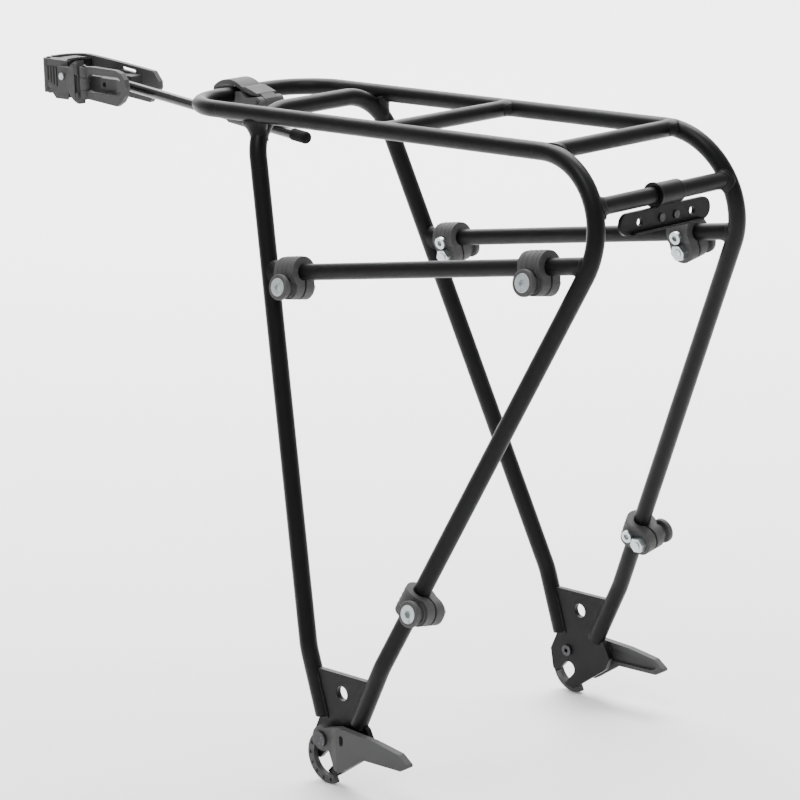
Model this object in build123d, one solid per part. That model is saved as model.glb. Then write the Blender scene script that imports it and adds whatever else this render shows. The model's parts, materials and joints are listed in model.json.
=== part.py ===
from build123d import *
from math import atan, cos, degrees, radians, sin
import os

# Rear rack for a bicycle, with locking feet, bag-hook adapters and a seatpost strut.
# Frame: +Z up, +Y towards the seatpost, +X to the bicycle's right.
# The origin lies midway between the two foot seats, on the line that joins them.

os.makedirs("parts", exist_ok=True)

# Driving dimensions, in millimetres
DECK_Z = 408.0            # deck tubes above the foot seats
RAIL_X = 59.0             # half spacing of the deck rails
BOW_Y = 195.0             # front cross piece of the main hoop
BOW_RADIUS = 38.0
REAR_CORNER_Y = -223.0    # where the deck and the rear stays would meet
REAR_BEND_RADIUS = 50.0
FRONT_CORNER_Y = 119.4    # where the deck and the front stays would meet
ARCH_CORNER_X = 58.0
ARCH_RADIUS = 35.0
FOOT_X = 117.0            # half spacing of the feet
KNEE_Z = 70.0             # the stays run upright, seen from behind, below this height
KNEE_RADIUS = 45.0
STAY_END_Z = 26.0
FRONT_RAKE = 0.2913       # rearward run of the front stays per unit of fall
REAR_RAKE = 0.52          # forward run of the rear stays per unit of fall
HOOP_D = 11.5
STAY_D = 12.0
CROSS_D = 11.0
WALL = 1.5
MIDDLE_TUBE_Y = -4.0
REAR_TUBE_Y = -147.0
LIGHT_TUBE_ARC = 0.57     # place of the light tube along the rear bend
RAIL_FRONT_Z = 306.0      # pannier rail where it meets the front stay
RAIL_REAR_Z = 344.0       # pannier rail where it meets the rear stay
FIT = 0.05                # radial clearance of a running fit
GAP = 0.3                 # clearance between pieces that move past each other
STRUT_D = 7.5
STRUT_RISE = 0.112        # rise of the strut per unit of forward run
STRUT_DROP = 18.0         # strut axis below the bow's axis
STRUT_TAIL_Y = 128.0
STRUT_EYE_Y = 326.0
POST_R = 13.6             # radius of the seatpost that the clamp takes
POST_Y = 360.0
PAD = 1.6                 # thickness of the clamp's rubber pads

DROP = DECK_Z - KNEE_Z
SIDES = {"left": -1, "right": 1}


def save(name, *solids):
    """Write one sub-part; several solids share a node as a group."""
    shape = solids[0] if len(solids) == 1 else Compound(children=list(solids))
    export_step(shape, f"parts/{name}.step")


def swept(path, diameter):
    section = Plane(origin=path @ 0, z_dir=path % 0) * Circle(diameter / 2)
    return sweep(section, path=path).solid()


def tube(path, diameter):
    """Outer solid and hollow tube along a path."""
    outer = swept(path, diameter)
    return outer, outer - swept(path, diameter - 2 * WALL)


def rod(start, end, radius):
    """Solid cylinder between two points."""
    axis = Vector(*end) - Vector(*start)
    plane = Plane(origin=start, z_dir=axis)
    return extrude(plane * Circle(radius), axis.length).solid()


def slab(points, x0, x1, corner=0.0):
    """Plate with an outline of (y, z) points, spanning x0 to x1."""
    face = make_face(Polyline(*points, close=True))
    if corner:
        face = fillet(face.vertices(), corner)
    return extrude(Plane(origin=(x0, 0, 0), x_dir=(0, 1, 0), z_dir=(1, 0, 0)) * face, x1 - x0).solid()


def disc(y, z, radius, x0, x1):
    """Round disc about an axis along X."""
    return rod((min(x0, x1), y, z), (max(x0, x1), y, z), radius)


def mirrored(solid, side):
    return solid if side > 0 else solid.mirror(Plane.YZ)


def whole(shape):
    """The single solid of a boolean result."""
    return shape.solid() if isinstance(shape, Compound) else shape


def outlets(shape):
    """The largest solid of a cut that leaves offcuts."""
    return max(shape.solids(), key=lambda solid: solid.volume)


# Points of the right-hand side
def front_stay_point(z):
    fall = DECK_Z - z
    inset = (FOOT_X - ARCH_CORNER_X) * min(fall, DROP) / DROP
    return (ARCH_CORNER_X + inset, FRONT_CORNER_Y - FRONT_RAKE * fall, z)


def rear_stay_point(z):
    fall = DECK_Z - z
    inset = (FOOT_X - RAIL_X) * min(fall, DROP) / DROP
    return (RAIL_X + inset, REAR_CORNER_Y + REAR_RAKE * fall, z)


def flip(point, side):
    return (side * point[0], point[1], point[2])


# Main hoop
BOW_START_Y = BOW_Y - BOW_RADIUS - 6
RAIL_END_Y = REAR_CORNER_Y + 86
bow_path = FilletPolyline(
    (-RAIL_X, BOW_START_Y, DECK_Z),
    (-RAIL_X, BOW_Y, DECK_Z),
    (RAIL_X, BOW_Y, DECK_Z),
    (RAIL_X, BOW_START_Y, DECK_Z),
    radius=BOW_RADIUS,
)
save("front_bow", tube(bow_path, HOOP_D)[1])

hoop_outer = {}
stay_paths = {}
for name, side in SIDES.items():
    rail_path = Line((side * RAIL_X, BOW_START_Y, DECK_Z), (side * RAIL_X, RAIL_END_Y, DECK_Z))
    rail_outer, rail = tube(rail_path, HOOP_D)
    save(f"{name}_deck_rail", rail)
    stay_path = FilletPolyline(
        (side * RAIL_X, RAIL_END_Y, DECK_Z),
        (side * RAIL_X, REAR_CORNER_Y, DECK_Z),
        flip(rear_stay_point(KNEE_Z), side),
        flip(rear_stay_point(STAY_END_Z), side),
        radius=[REAR_BEND_RADIUS, KNEE_RADIUS],
    )
    stay_outer, stay = tube(stay_path, HOOP_D)
    save(f"{name}_rear_stay", stay)
    stay_paths[name] = stay_path
    hoop_outer[name] = (rail_outer, stay_outer)

# Front hoop: an arch under the deck rails and two stays
ARCH_END_Z = DECK_Z - 36
arch_path = FilletPolyline(
    flip(front_stay_point(ARCH_END_Z), -1),
    flip(front_stay_point(DECK_Z), -1),
    front_stay_point(DECK_Z),
    front_stay_point(ARCH_END_Z),
    radius=ARCH_RADIUS,
)
arch = tube(arch_path, STAY_D)[1]
save("front_arch", outlets(arch - hoop_outer["left"][0] - hoop_outer["right"][0]))

front_outer = {}
for name, side in SIDES.items():
    path = FilletPolyline(
        flip(front_stay_point(ARCH_END_Z), side),
        flip(front_stay_point(KNEE_Z), side),
        flip(front_stay_point(STAY_END_Z), side),
        radius=KNEE_RADIUS,
    )
    front_outer[name], stay = tube(path, STAY_D)
    save(f"{name}_front_stay", stay)


def cross_tube(y, z, half):
    """Hollow tube between the two sides, coped to the hoop."""
    path = Line((-half, y, z), (half, y, z))
    hollow = tube(path, CROSS_D)[1]
    for name in SIDES:
        for solid in hoop_outer[name]:
            hollow = hollow - solid
    return outlets(hollow)


save("middle_cross_tube", cross_tube(MIDDLE_TUBE_Y, DECK_Z, RAIL_X))
save("rear_cross_tube", cross_tube(REAR_TUBE_Y, DECK_Z, RAIL_X))

right_bend = stay_paths["right"].edges().sort_by(Axis.Z)[-2]
bend_start_high = (right_bend @ 0).Z > (right_bend @ 1).Z
light_end = right_bend @ (LIGHT_TUBE_ARC if bend_start_high else 1 - LIGHT_TUBE_ARC)
LIGHT_X = light_end.X
LIGHT_Y = light_end.Y
LIGHT_Z = light_end.Z
save("light_cross_tube", cross_tube(LIGHT_Y, LIGHT_Z, LIGHT_X))

# Pannier rails
rail_ends = {}
for name, side in SIDES.items():
    start = flip(front_stay_point(RAIL_FRONT_Z), side)
    end = flip(rear_stay_point(RAIL_REAR_Z), side)
    rail_ends[name] = (start, end)
    hollow = tube(Line(start, end), CROSS_D)[1]
    save(f"{name}_pannier_rail", outlets(hollow - front_outer[name] - hoop_outer[name][1]))

# Dropout plates, drawn for the right side as (y, z)
PLATE_T = 4.0
PLATE_IN = FOOT_X - PLATE_T / 2
PLATE_OUT = FOOT_X + PLATE_T / 2
SEAT_R = 5.2              # seat for a 10 mm frame stud
PIVOT_Y = 1.0
PIVOT_Z = 13.5
PIVOT_R = 2.5
MOUTH = 26.0              # length of the seat's mouth, open forward and down
plate_outline = [
    (15, 58), (-37, 58), (-26, 30), (-33, 25), (-38, 15), (-34, 6),
    (-4, -14), (3, -13), (15, -2), (17, 12), (9, 28),
]

# Locking lever and hook ring, in layers outboard of the plate
RING_X0 = PLATE_OUT + 0.4
RING_X1 = RING_X0 + 4.0
LEVER_X0 = RING_X1 + 0.4
LEVER_X1 = LEVER_X0 + 5.0
HUB_FACE = LEVER_X1 - 1.6
RING_R0 = 13.0
RING_R1 = 18.3
RING_FROM = -112.0        # ring's ends, in degrees from +Y towards +Z
RING_TO = 40.0
RING_MARKS = 6            # shallow round marks on the ring's face
MARK_START = 12.0
MARK_STEP = 25.0
MARK_R = 1.3
MARK_DEPTH = 0.9
GUIDE_R = 9.5
GUIDE_FROM = 110.0
GUIDE_TO = 250.0
HUB_R = 8.5
lever_outline = [
    (-2, 21.4), (-16, 25), (-49, 23), (-72, 19.5), (-81, 13),
    (-73, 8.5), (-39, 8), (-17, -6), (-10, -5.5), (-5, 7),
]


def sector(start, end, inner, outer, x0, x1):
    """Part of a ring about the seat axis, between two angles."""
    reach = 2 * outer
    steps = 12
    angles = [radians(start + (end - start) * step / steps) for step in range(steps + 1)]
    points = [(0.0, 0.0)] + [(reach * cos(angle), reach * sin(angle)) for angle in angles]
    ring = disc(0, 0, outer, x0, x1) - disc(0, 0, inner, x0 - 1, x1 + 1)
    return outlets(ring & slab(points, x0, x1))


def mouth():
    """Cutter for the seat and its slanted mouth."""
    half = SEAT_R * cos(radians(45))
    run = MOUTH * cos(radians(45))
    points = [(half, half), (-half, -half), (run - half, -run - half), (run + half, -run + half)]
    cutter = slab(points, PLATE_IN - 1, PLATE_OUT + 1)
    return cutter + disc(0, 0, SEAT_R, PLATE_IN - 1, PLATE_OUT + 1)


def dropout_plate():
    plate = slab(plate_outline, PLATE_IN, PLATE_OUT, 2.0) - mouth()
    plate = plate - disc(-11, 45, 5.0, PLATE_IN - 1, PLATE_OUT + 1)
    plate = plate - disc(PIVOT_Y, PIVOT_Z, PIVOT_R, PLATE_IN - 1, PLATE_OUT + 1)
    plate = plate + sector(GUIDE_FROM, GUIDE_TO, GUIDE_R, RING_R0 - FIT, PLATE_OUT - 0.1, RING_X1)
    return outlets(plate - front_outer["right"] - hoop_outer["right"][1])


def lever_pivot():
    pivot = disc(PIVOT_Y, PIVOT_Z, PIVOT_R, PLATE_IN, HUB_FACE + GAP)
    pivot = pivot + disc(PIVOT_Y, PIVOT_Z, 5.3, HUB_FACE + GAP, HUB_FACE + GAP + 2.1)
    pivot = pivot + disc(PIVOT_Y, PIVOT_Z, 4.0, PLATE_IN - 1.6, PLATE_IN)
    return whole(pivot - disc(PIVOT_Y, PIVOT_Z, 1.5, PLATE_IN - 2, LEVER_X0))


def pivot_spacer():
    spacer = disc(PIVOT_Y, PIVOT_Z, 4.2, PLATE_OUT, LEVER_X0 - FIT)
    return whole(spacer - disc(PIVOT_Y, PIVOT_Z, PIVOT_R, PLATE_OUT - 1, LEVER_X0 + 1))


def lock_lever():
    """Blade with a hub, a step down to the hub and a hollow back to the grip."""
    lever = slab(lever_outline, LEVER_X0, LEVER_X1, 1.5)
    lever = lever + disc(PIVOT_Y, PIVOT_Z, HUB_R, LEVER_X0, LEVER_X1)
    step = [(LEVER_X1, -14), (HUB_FACE, -8), (HUB_FACE, 30), (LEVER_X1 + 5, 30), (LEVER_X1 + 5, -14)]
    lever = lever - Pos(0, 0, -30) * extrude(make_face(Polyline(*step, close=True)), 80)
    lever = lever - disc(PIVOT_Y, PIVOT_Z, PIVOT_R + FIT, LEVER_X0 - 1, LEVER_X1 + 1)
    hollow = [(-30, 20.5), (-68, 17.5), (-75, 13.5), (-68, 11), (-30, 10.5)]
    lever = lever - slab(hollow, LEVER_X0 - 1, LEVER_X0 + 2.5, 1.5)
    slot = slab([(-20.6, 20), (-17, 20), (-17, 13), (-20.6, 13)], LEVER_X0 - 1, LEVER_X1 + 1, 1.5)
    return outlets(lever - slot)


def lock_ring():
    """Hook that closes the seat's mouth, with shallow marks on its face."""
    ring = sector(RING_FROM, RING_TO, RING_R0, RING_R1, RING_X0, RING_X1)
    middle = (RING_R0 + RING_R1) / 2
    for mark in range(RING_MARKS):
        angle = radians(RING_FROM + MARK_START + mark * MARK_STEP)
        y, z = middle * cos(angle), middle * sin(angle)
        ring = ring - disc(y, z, MARK_R, RING_X1 - MARK_DEPTH, RING_X1 + 1)
    return outlets(ring)


feet = {
    "dropout_plate": dropout_plate(),
    "lever_pivot": lever_pivot(),
    "pivot_spacer": pivot_spacer(),
    "lock_lever": lock_lever(),
    "lock_ring": lock_ring(),
}
for name, side in SIDES.items():
    for piece, solid in feet.items():
        save(f"{name}_{piece}", mirrored(solid, side))

# Bag-hook adapters. Local axes: x outboard, y towards the stud, z along the tube
STUD_OFFSET = 9.85
COLLAR_R = 10.5
COLLAR_HALF = 9.0
TONGUE_IN = -9.5
TONGUE_OUT = 6.5
TONGUE_END = 18.0
SPLIT = 1.6
SCREW_R = 3.0
STUD_FACE = 16.0
SPLAY = degrees(atan((FOOT_X - RAIL_X) / DROP))
ADAPTER_FRONT_Y = 66.5
ADAPTER_REAR_Y = -148.0
ADAPTER_STAY_Z = 116.5


def along_x(radius, x0, x1, y=0.0):
    return rod((x0, y, 0), (x1, y, 0), radius)


def facing_x(x, y=0.0):
    return Plane(origin=(x, y, 0), z_dir=(1, 0, 0))


def adapter_collar(bore_r):
    """Split ring with a tongue that takes the stud."""
    tongue_size = (TONGUE_OUT - TONGUE_IN, TONGUE_END, 2 * COLLAR_HALF)
    tongue = Pos((TONGUE_IN + TONGUE_OUT) / 2, TONGUE_END / 2, 0) * Box(*tongue_size)
    tongue = fillet(tongue.edges().filter_by(Axis.X).group_by(Axis.Y)[-1], COLLAR_HALF - 0.4)
    collar = extrude(Circle(COLLAR_R), COLLAR_HALF, both=True) + tongue
    collar = collar - extrude(Circle(bore_r), 20, both=True)
    collar = collar - Pos(-1.5, 12, 0) * Box(SPLIT, 24, 2 * COLLAR_HALF + 2)
    collar = collar - along_x(SCREW_R, TONGUE_IN - 2, TONGUE_OUT + 2, STUD_OFFSET)
    collar = collar - along_x(7.0, TONGUE_OUT, STUD_FACE, STUD_OFFSET)
    return outlets(collar - along_x(2.5, -12, 0))


def adapter_stud():
    """Mushroom stud that a bag hook closes round."""
    stud = along_x(7.0, TONGUE_OUT, TONGUE_OUT + 1.5, STUD_OFFSET)
    stud = stud + along_x(5.6, TONGUE_OUT, 12.5, STUD_OFFSET)
    flange = along_x(8.6, 12.0, STUD_FACE, STUD_OFFSET)
    stud = stud + fillet(flange.edges(), 1.2)
    stud = stud - along_x(SCREW_R, TONGUE_OUT - 1, STUD_FACE, STUD_OFFSET)
    return whole(stud - screw_cone())


def screw_cone():
    small = facing_x(13.0, STUD_OFFSET) * Circle(SCREW_R)
    large = facing_x(STUD_FACE, STUD_OFFSET) * Circle(6.0)
    return loft([small, large])


def stud_screw():
    socket = extrude(facing_x(13.4, STUD_OFFSET) * RegularPolygon(2.7, 6), 4)
    return whole(screw_cone() + along_x(SCREW_R, -14.6, 13.2, STUD_OFFSET) - socket)


def stud_nut():
    nut = extrude(facing_x(TONGUE_IN - 4.6, STUD_OFFSET) * RegularPolygon(5.5, 6), 4.6)
    return whole(nut - along_x(SCREW_R, -20, 0, STUD_OFFSET))


def grip_screw(bore_r):
    screw = along_x(2.5, -COLLAR_R, -bore_r) + along_x(4.2, -COLLAR_R - 2.8, -COLLAR_R)
    return whole(screw - extrude(facing_x(-COLLAR_R - 3) * RegularPolygon(2.2, 6), 2))


fasteners = {"adapter_stud_screws": [], "adapter_stud_nuts": [], "adapter_grip_screws": []}


def place_adapter(prefix, side, centre, tube_axis, tube_diameter):
    """Put one adapter on a tube, its stud square to the splayed side of the rack."""
    axis = Vector(*tube_axis).normalized()
    outboard = Vector(side * cos(radians(SPLAY)), 0, sin(radians(SPLAY)))
    outboard = (outboard - axis * outboard.dot(axis)).normalized()
    if axis.cross(outboard).Z > 0:
        axis = axis * -1
    frame = Plane(origin=centre, x_dir=outboard, z_dir=axis)
    bore_r = tube_diameter / 2
    save(f"{prefix}_adapter_collar", frame * adapter_collar(bore_r))
    save(f"{prefix}_adapter_stud", frame * adapter_stud())
    fasteners["adapter_stud_screws"].append(frame * stud_screw())
    fasteners["adapter_stud_nuts"].append(frame * stud_nut())
    fasteners["adapter_grip_screws"].append(frame * grip_screw(bore_r))


def between(a, b, y):
    """Point of the line a to b at a given y."""
    share = (y - a[1]) / (b[1] - a[1])
    return tuple(p + (q - p) * share for p, q in zip(a, b))


def direction(a, b):
    return tuple(q - p for p, q in zip(a, b))


for name, side in SIDES.items():
    start, end = rail_ends[name]
    rail_axis = direction(start, end)
    place_adapter(f"{name}_front", side, between(start, end, ADAPTER_FRONT_Y), rail_axis, CROSS_D)
    place_adapter(f"{name}_rear", side, between(start, end, ADAPTER_REAR_Y), rail_axis, CROSS_D)
    low = flip(rear_stay_point(ADAPTER_STAY_Z), side)
    high = flip(rear_stay_point(ADAPTER_STAY_Z + 50), side)
    place_adapter(f"{name}_stay", side, low, direction(low, high), HOOP_D)
for node, solids in fasteners.items():
    save(node, *solids)

# Light bracket: a strap folded round the light tube, riveted below it
BRACKET_FROM = -9.0        # ends of the folded sleeve along X
BRACKET_TO = 14.0
BRACKET_COLLAR_R = 7.3
BRACKET_PLATE = 85.5
BRACKET_H = 14.0
BRACKET_T = 2.6
BRACKET_SLIT = 0.6
LIGHT_HOLE_PITCH = 50.0
LIGHT_HOLE_R = 2.6
RIVET_PITCH = 14.0
RIVET_MIDDLE = 2.5
plate_z = LIGHT_Z - 14.0
rivet_places = [RIVET_MIDDLE - RIVET_PITCH / 2, RIVET_MIDDLE + RIVET_PITCH / 2]
back_y = LIGHT_Y - BRACKET_SLIT / 2
front_y = LIGHT_Y + BRACKET_SLIT / 2


def along_light_tube(x0, x1, radius):
    return rod((x0, LIGHT_Y, LIGHT_Z), (x1, LIGHT_Y, LIGHT_Z), radius)


def light_bracket():
    bracket = along_light_tube(BRACKET_FROM, BRACKET_TO, BRACKET_COLLAR_R)
    bracket = bracket + along_light_tube(BRACKET_FROM, BRACKET_FROM + 1.6, BRACKET_COLLAR_R + 0.8)
    back = Plane(origin=(0, back_y, plate_z), x_dir=(1, 0, 0), z_dir=(0, -1, 0))
    bracket = bracket + extrude(back * SlotOverall(BRACKET_PLATE, BRACKET_H), BRACKET_T)
    web_h = LIGHT_Z - plate_z
    web_w = BRACKET_TO - BRACKET_FROM
    web_x = (BRACKET_TO + BRACKET_FROM) / 2
    bracket = bracket + Pos(web_x, back_y - BRACKET_T / 2, LIGHT_Z - web_h / 2) * Box(web_w, BRACKET_T, web_h)
    bracket = bracket + Pos(web_x, front_y + 1.0, LIGHT_Z - web_h / 2 - 2) * Box(web_w, 2.0, web_h + 4)
    lip_z = plate_z - BRACKET_H / 2 + 0.8
    bracket = bracket + Pos(0, back_y - BRACKET_T - 1.5, lip_z) * Box(66, 4.0, 1.6)
    bracket = bracket - along_light_tube(-30, 30, CROSS_D / 2 + FIT)
    bracket = bracket - Pos(0, LIGHT_Y, LIGHT_Z - 20) * Box(60, BRACKET_SLIT, 40)
    for x in (-LIGHT_HOLE_PITCH / 2, LIGHT_HOLE_PITCH / 2):
        bracket = bracket - rod((x, back_y - 6, plate_z), (x, back_y + 2, plate_z), LIGHT_HOLE_R)
    for x in rivet_places:
        bracket = bracket - rod((x, back_y - 6, plate_z), (x, front_y + 6, plate_z), 1.5)
    return outlets(bracket)


def bracket_rivet(x):
    back_face = back_y - BRACKET_T
    rivet = rod((x, back_face - 1.0, plate_z), (x, front_y + 2.8, plate_z), 1.5)
    rivet = rivet + rod((x, back_face - 1.0, plate_z), (x, back_face, plate_z), 2.6)
    return whole(rivet + rod((x, front_y + 2.0, plate_z), (x, front_y + 2.8, plate_z), 2.4))


save("light_bracket", light_bracket())
save("bracket_rivets", *[bracket_rivet(x) for x in rivet_places])


# Strut and its coupling on the bow
def strut_z(y):
    return DECK_Z - STRUT_DROP + STRUT_RISE * (y - BOW_Y)


def strut_point(y):
    return (0, y, strut_z(y))


COUPLING_HALF = 11.0
CAP_HALF = 9.0
KNUCKLE_HALF = 6.0
CAP_HINGE_Y = 167.5
CAP_HINGE_Z = DECK_Z - 3.8
CAP_HINGE_R = 4.6
PIN_R = 1.5
SLEEVE_R = 4.9


def coupling_body():
    """Block that hangs on the bow, with a sleeve for the strut and lugs for the cap."""
    block_outline = [(176, 391), (204, 391), (207, 396), (208, 408), (204, 411), (184, 411), (174, 404)]
    body = slab(block_outline, -COUPLING_HALF, COUPLING_HALF, 1.2)
    body = body + rod(strut_point(176), strut_point(206), SLEEVE_R)
    lug_outline = [(167.5, 399.6), (178, 392), (184, 400), (180, 407), (167.5, 408.8)]
    body = body + slab(lug_outline, -COUPLING_HALF, COUPLING_HALF)
    body = body + disc(CAP_HINGE_Y, CAP_HINGE_Z, CAP_HINGE_R, -COUPLING_HALF, COUPLING_HALF)
    body = body - disc(BOW_Y, DECK_Z, HOOP_D / 2 + FIT, -20, 20)
    body = body - Pos(0, BOW_Y, DECK_Z + 10) * Box(40, HOOP_D + 2 * FIT, 20)
    body = body - Pos(0, CAP_HINGE_Y, CAP_HINGE_Z) * Box(2 * KNUCKLE_HALF + 2 * GAP, 12.4, 20)
    body = body - disc(CAP_HINGE_Y, CAP_HINGE_Z, PIN_R, -20, 20)
    return outlets(body - rod(strut_point(150), strut_point(230), STRUT_D / 2 + FIT))


def coupling_cap():
    """Lever cap that arches over the bow from its hinge behind the tube."""
    over = ThreePointArc((181.5, 412.2), (196, 418.6), (213, 413))
    under = ThreePointArc((211.5, 411.6), (196, 415.3), (184, 411.6))
    lip = [(213, 413), (214.2, 407), (212.6, 406.6), (211.5, 411.6)]
    edges = [over, Polyline(*lip), under, Line((184, 411.6), (181.5, 412.2))]
    arch = Plane(origin=(-CAP_HALF, 0, 0), x_dir=(0, 1, 0), z_dir=(1, 0, 0)) * make_face(edges)
    cap = extrude(arch, 2 * CAP_HALF)
    arm = [(164, 407.6), (171.6, 404), (172.4, 409), (183, 411.8), (186, 414), (180, 414.6), (169, 410.8)]
    cap = cap + slab(arm, -KNUCKLE_HALF, KNUCKLE_HALF)
    back = [(168.5, 409.3), (175, 409.6), (184.5, 411.9), (186, 414.2), (180, 414.6), (169, 411.0)]
    cap = cap + slab(back, -CAP_HALF, CAP_HALF)
    cap = cap + disc(CAP_HINGE_Y, CAP_HINGE_Z, CAP_HINGE_R, -KNUCKLE_HALF, KNUCKLE_HALF)
    return whole(cap - disc(CAP_HINGE_Y, CAP_HINGE_Z, PIN_R + FIT, -20, 20))


def strut_rod():
    """Round strut with a flat eye at its front end."""
    strut = rod(strut_point(STRUT_TAIL_Y + 4), strut_point(STRUT_EYE_Y), STRUT_D / 2)
    eye_z = strut_z(STRUT_EYE_Y)
    strut = strut + disc(STRUT_EYE_Y, eye_z, EYE_R, -EYE_HALF, EYE_HALF)
    for x in (-EYE_HALF - 10, EYE_HALF + 10):
        strut = strut - Pos(x, STRUT_EYE_Y, eye_z) * Box(20, 26, 40)
    return outlets(strut - disc(STRUT_EYE_Y, eye_z, YOKE_PIN_R + FIT, -10, 10))


def strut_end_cap():
    cap = rod(strut_point(STRUT_TAIL_Y), strut_point(STRUT_TAIL_Y + 15), 4.3)
    cap = fillet(cap.edges().group_by(Axis.Y)[0], 3.2)
    return whole(cap - rod(strut_point(STRUT_TAIL_Y + 4), strut_point(STRUT_TAIL_Y + 30), STRUT_D / 2))


EYE_R = 5.5
EYE_HALF = 3.0
YOKE_PIN_R = 2.0
save("coupling_body", coupling_body())
save("coupling_pin", disc(CAP_HINGE_Y, CAP_HINGE_Z, PIN_R, -COUPLING_HALF - 1, COUPLING_HALF + 1))
save("coupling_cap", coupling_cap())
save("coupling_screw", disc(199.5, 400, 1.9, -COUPLING_HALF - 1.2, -COUPLING_HALF))
save("strut_rod", strut_rod())
save("strut_end_cap", strut_end_cap())

# Seatpost clamp: yoke and band on the strut's eye, then the hinged head and its loop lever
EYE_Z = strut_z(STRUT_EYE_Y)
BAND_IN = 14.3
BAND_T = 4.0
BAND_BEND_Y = 378.0       # where the band starts to curve round the front
BAND_TOP = 420.0
BAND_BOTTOM = 391.5
HEAD_PIN_X = -9.5
HEAD_PIN_Y = 392.5
KNUCKLE_R = 4.2
LUG_LOW = 397.0           # the band's knuckle fills the space between these two heights
LUG_HIGH = 413.0
NEAR_X = -14.0            # near side of the clamp's mouth
LOOP_PIN_X = -17.0
LOOP_PIN_Y = 343.5
LOOP_KNUCKLE_R = 3.5
LOOP_LOW = 400.0          # the head's knuckle fills the space between these two heights
LOOP_HIGH = 409.0
CHEEK_BACK_Y = 347.3
CHEEK_Y = 345.0
HEAD_BASE = 394.0         # underside of the head's lower lug


def upright(x, y, radius, z0, z1):
    return rod((x, y, z0), (x, y, z1), radius)


def box_between(low, high):
    """Box from its lowest corner to its highest corner."""
    centre = [(a + b) / 2 for a, b in zip(low, high)]
    return Pos(*centre) * Box(*[b - a for a, b in zip(low, high)])


def clamp_yoke():
    """Saddle behind the seatpost, with a slot for the eye and a hook for the loop."""
    yoke = slab([(317, 397), (350, 395.5), (350, 409.5), (317, 409.5)], -10.0, BAND_IN, 1.0)
    yoke = yoke + box_between((-13.5, 303.4, 401.5), (-9.5, 330, 409.5))
    yoke = yoke + box_between((-17.0, 303.4, 401.5), (-13.0, 308, 409.5))
    yoke = yoke - upright(0, POST_Y, POST_R + PAD, 380, 440)
    yoke = yoke - disc(STRUT_EYE_Y, EYE_Z, EYE_R + 0.5, -EYE_HALF - GAP, EYE_HALF + GAP)
    yoke = yoke - box_between((-EYE_HALF - GAP, 300, 380), (EYE_HALF + GAP, STRUT_EYE_Y, 430))
    yoke = yoke - box_between((-4.4, 300, 380), (4.4, 322, 430))
    yoke = yoke - disc(STRUT_EYE_Y, EYE_Z, YOKE_PIN_R, -20, 20)
    for y, z in band_screw_places:
        yoke = yoke - disc(y, z, 2.0, 6.0, 20)
    return outlets(yoke)


band_screw_places = [(321.5, 401.0), (339.5, 401.5)]


def clamp_band():
    """Strap along the far side that curves round the front to the head's hinge."""
    outline = [
        (298, 401), (298, 406), (304, 413), (342, 417), (365, 419),
        (BAND_BEND_Y, BAND_TOP), (BAND_BEND_Y, BAND_BOTTOM), (331, 392), (309, 390),
    ]
    band = slab(outline, BAND_IN, BAND_IN + BAND_T)
    slot = [(341, 414.6), (323, 412.4), (323, 409.6), (341, 411.6)]
    band = band - slab(slot, BAND_IN - 1, BAND_IN + BAND_T + 1, 1.2)
    bend_r = 17.0
    bend_x = BAND_IN + BAND_T - bend_r
    bend = upright(bend_x, BAND_BEND_Y, bend_r, BAND_BOTTOM, BAND_TOP)
    bend = bend - upright(bend_x, BAND_BEND_Y, bend_r - BAND_T, BAND_BOTTOM - 1, BAND_TOP + 1)
    bend = bend & box_between((bend_x, BAND_BEND_Y, BAND_BOTTOM), (40, 420, BAND_TOP))
    front_y = BAND_BEND_Y + bend_r
    band = band + bend + box_between((-6, front_y - BAND_T, BAND_BOTTOM), (bend_x, front_y, BAND_TOP))
    for z0, z1 in ((380, LUG_LOW - GAP), (LUG_HIGH + GAP, 430)):
        band = band - upright(HEAD_PIN_X, HEAD_PIN_Y, KNUCKLE_R + 0.6, z0, z1)
    band = band + upright(HEAD_PIN_X, HEAD_PIN_Y, KNUCKLE_R, LUG_LOW, LUG_HIGH)
    band = band - upright(HEAD_PIN_X, HEAD_PIN_Y, PIN_R, 380, 440)
    for y, z in band_screw_places:
        band = band - disc(y, z, 2.0, 6, 30)
    return outlets(band)


def band_screw(y, z):
    screw = disc(y, z, 2.0, 6.0, BAND_IN + BAND_T) + disc(y, z, 3.6, BAND_IN + BAND_T, BAND_IN + BAND_T + 2.2)
    return whole(screw)


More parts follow.
